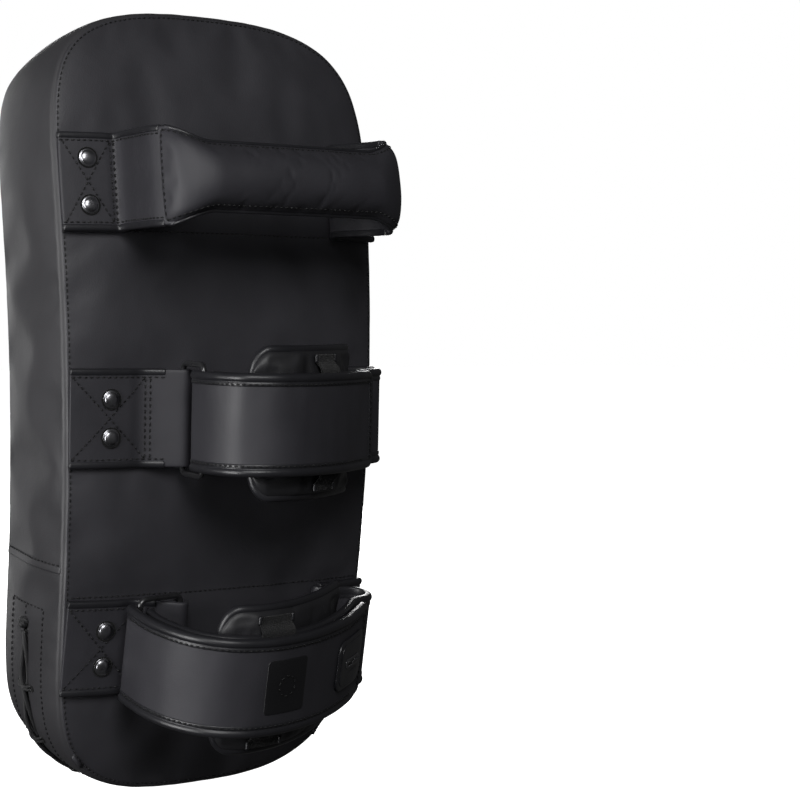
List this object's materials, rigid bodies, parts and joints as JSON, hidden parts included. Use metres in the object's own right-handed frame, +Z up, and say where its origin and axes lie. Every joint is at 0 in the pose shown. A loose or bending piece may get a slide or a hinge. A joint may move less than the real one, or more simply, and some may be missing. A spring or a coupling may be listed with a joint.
{
  "type": "kick shield",
  "caption": "Bent foam kick shield in a sewn leather cover, with a padded hand grip, hook-and-loop forearm straps and a laced end.",
  "frame": {"origin": "on the forearm's axis, at the middle of the upper forearm strap, halfway across the pad", "axes": "+Z up along the pad's length, from the laced end to the hand grip; +Y out of the strike face, with the straps on the -Y side; +X to the right as seen from the strap side"},
  "size_m": [0.204, 0.1689, 0.4108],
  "materials": {
    "cover_leather": "matte, fine grain",
    "wall_leather": "matte, fine grain",
    "strap_leather": "matte, fine grain",
    "soft_foam": "matte",
    "dense_foam": "matte",
    "stiff_board": "matte",
    "lining": "matte",
    "tape": "fuzzy",
    "cord": "waxed",
    "rivet_metal": "dark, polished",
    "ring_wire": "gloss black",
    "badge_rubber": "satin"
  },
  "bodies": {
    "pad": {"strike_panel": "cover_leather", "back_panel": "cover_leather", "upper_wall": "wall_leather", "lower_wall": "wall_leather", "slot_placket": "lining", "strike_foam": "soft_foam", "core_foam": "dense_foam", "back_board": "stiff_board", "lace_strand_1": "cord", "lace_strand_2": "cord", "lace_knot_left": "cord", "lace_knot_right": "cord", "handle_strap": "strap_leather", "grip_cover": "strap_leather", "grip_foam": "soft_foam", "middle_tab": "strap_leather", "middle_strap": "strap_leather", "middle_loop_tape": "tape", "middle_liner": "lining", "middle_keeper": "tape", "lower_tab": "strap_leather", "lower_strap": "strap_leather", "lower_loop_tape": "tape", "lower_liner": "lining", "lower_keeper": "tape", "handle_rivet_1": "rivet_metal", "handle_rivet_2": "rivet_metal", "handle_rivet_3": "rivet_metal", "handle_rivet_4": "rivet_metal", "middle_rivet_1": "rivet_metal", "middle_rivet_2": "rivet_metal", "middle_rivet_3": "rivet_metal", "middle_rivet_4": "rivet_metal", "lower_rivet_1": "rivet_metal", "lower_rivet_2": "rivet_metal", "lower_rivet_3": "rivet_metal", "lower_rivet_4": "rivet_metal"},
    "middle_ring_body": {"middle_ring": "ring_wire", "middle_fold": "strap_leather"},
    "middle_flap_body": {"middle_flap": "strap_leather", "middle_hook_tape": "tape"},
    "lower_ring_body": {"lower_ring": "ring_wire", "lower_fold": "strap_leather"},
    "lower_flap_body": {"lower_flap": "strap_leather", "lower_hook_tape": "tape", "lower_badge": "badge_rubber"}
  },
  "joints": [
    {"name": "middle_ring_swing", "type": "hinge", "parent": "pad", "child": "middle_ring_body", "pos_m": [-0.035, 0.02752, -0.00011], "axis": [0, 0.0078, -1], "range_deg": [0, 8]},
    {"name": "middle_flap_peel", "type": "hinge", "parent": "middle_ring_body", "child": "middle_flap_body", "pos_m": [-0.045, 0.00182, -0.00031], "axis": [0, 0.0078, -1], "range_deg": [0, 100]},
    {"name": "lower_ring_swing", "type": "hinge", "parent": "pad", "child": "lower_ring_body", "pos_m": [-0.033, 0.03549, -0.11924], "axis": [0, 0.1632, -0.9866], "range_deg": [0, 6]},
    {"name": "lower_flap_peel", "type": "hinge", "parent": "lower_ring_body", "child": "lower_flap_body", "pos_m": [-0.065, 0.03204, -0.11981], "axis": [0, 0.1632, -0.9866], "range_deg": [0, 90]}
  ]
}
